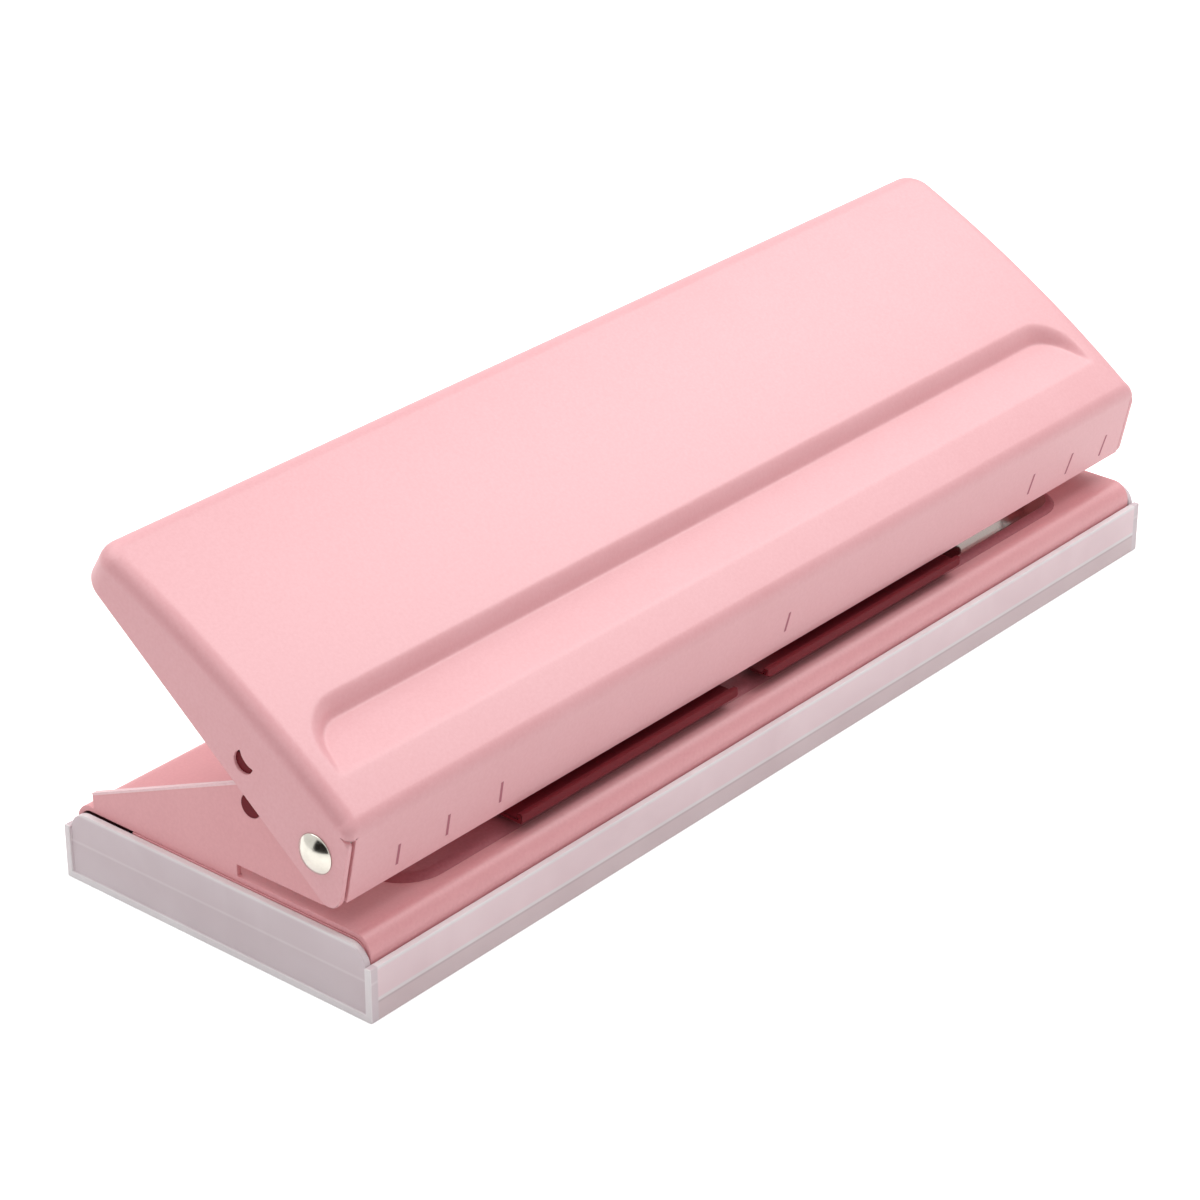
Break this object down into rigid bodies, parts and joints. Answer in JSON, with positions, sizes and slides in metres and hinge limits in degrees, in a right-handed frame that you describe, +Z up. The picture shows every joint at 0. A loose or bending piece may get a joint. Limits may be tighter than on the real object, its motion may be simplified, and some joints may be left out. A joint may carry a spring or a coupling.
{
  "type": "desk hole punch",
  "caption": "Long desk punch for loose-leaf pages: pressed steel lever with a finger scoop, sheet-metal base with end cheeks, spring-return punches and a clip-on chip tray.",
  "frame": {"origin": "middle of the tray's underside, on the table", "axes": "+X along the length of the punch, +Y to the rear where the lever rises, +Z up"},
  "size_m": [0.2698, 0.084, 0.0801],
  "materials": {
    "tray_plastic": "frosted, translucent, moulded polypropylene",
    "lever_paint": "satin powder coat",
    "base_paint": "satin powder coat",
    "rivet_nickel": "polished nickel plate",
    "zinc_steel": "bright zinc plate",
    "punch_steel": "ground tool steel",
    "spring_steel": "drawn spring wire",
    "washer_nylon": "natural nylon"
  },
  "bodies": {
    "tray": {"chip_tray": "tray_plastic"},
    "base": {"base_plate": "base_paint", "die_plate": "zinc_steel", "die_rivets": "zinc_steel", "guide_rail_left": "base_paint", "guide_rail_right": "base_paint", "rail_rivets": "zinc_steel", "pivot_rivet_left": "rivet_nickel", "pivot_rivet_right": "rivet_nickel", "pivot_washer_left": "washer_nylon", "pivot_washer_right": "washer_nylon", "lever_spring_left": "spring_steel", "lever_spring_right": "spring_steel", "guide_bush_1": "zinc_steel", "punch_spring_1": "spring_steel", "guide_bush_2": "zinc_steel", "punch_spring_2": "spring_steel", "guide_bush_3": "zinc_steel", "punch_spring_3": "spring_steel", "guide_bush_4": "zinc_steel", "punch_spring_4": "spring_steel", "guide_bush_5": "zinc_steel", "punch_spring_5": "spring_steel", "guide_bush_6": "zinc_steel", "punch_spring_6": "spring_steel"},
    "lever": {"lever": "lever_paint", "press_bar": "zinc_steel"},
    "punch_1": {"punch_1": "punch_steel"},
    "punch_2": {"punch_2": "punch_steel"},
    "punch_3": {"punch_3": "punch_steel"},
    "punch_4": {"punch_4": "punch_steel"},
    "punch_5": {"punch_5": "punch_steel"},
    "punch_6": {"punch_6": "punch_steel"}
  },
  "joints": [
    {"name": "base_lift", "type": "slide", "parent": "tray", "child": "base", "axis": [0, 0, 1], "range_m": [0, 0.03]},
    {"name": "lever_hinge", "type": "hinge", "parent": "base", "child": "lever", "pos_m": [0, -0.0294, 0.033], "axis": [1, 0, 0], "range_deg": [-18, 0], "stiffness_Nm_per_rad": 1.2, "springref_deg": 20.05, "deforming": ["lever_spring_left", "lever_spring_right"]},
    {"name": "punch_slide_1", "type": "slide", "parent": "base", "child": "punch_1", "axis": [0, 0, 1], "range_m": [-0.0054, 0], "deforming": ["punch_spring_1"]},
    {"name": "punch_slide_2", "type": "slide", "parent": "base", "child": "punch_2", "axis": [0, 0, 1], "range_m": [-0.0054, 0], "deforming": ["punch_spring_2"]},
    {"name": "punch_slide_3", "type": "slide", "parent": "base", "child": "punch_3", "axis": [0, 0, 1], "range_m": [-0.0054, 0], "deforming": ["punch_spring_3"]},
    {"name": "punch_slide_4", "type": "slide", "parent": "base", "child": "punch_4", "axis": [0, 0, 1], "range_m": [-0.0054, 0], "deforming": ["punch_spring_4"]},
    {"name": "punch_slide_5", "type": "slide", "parent": "base", "child": "punch_5", "axis": [0, 0, 1], "range_m": [-0.0054, 0], "deforming": ["punch_spring_5"]},
    {"name": "punch_slide_6", "type": "slide", "parent": "base", "child": "punch_6", "axis": [0, 0, 1], "range_m": [-0.0054, 0], "deforming": ["punch_spring_6"]}
  ],
  "couplings": [
    {"joint": "punch_slide_1", "follows": "lever_hinge", "m_per_rad": 0.016},
    {"joint": "punch_slide_2", "follows": "lever_hinge", "m_per_rad": 0.016},
    {"joint": "punch_slide_3", "follows": "lever_hinge", "m_per_rad": 0.016},
    {"joint": "punch_slide_4", "follows": "lever_hinge", "m_per_rad": 0.016},
    {"joint": "punch_slide_5", "follows": "lever_hinge", "m_per_rad": 0.016},
    {"joint": "punch_slide_6", "follows": "lever_hinge", "m_per_rad": 0.016}
  ]
}
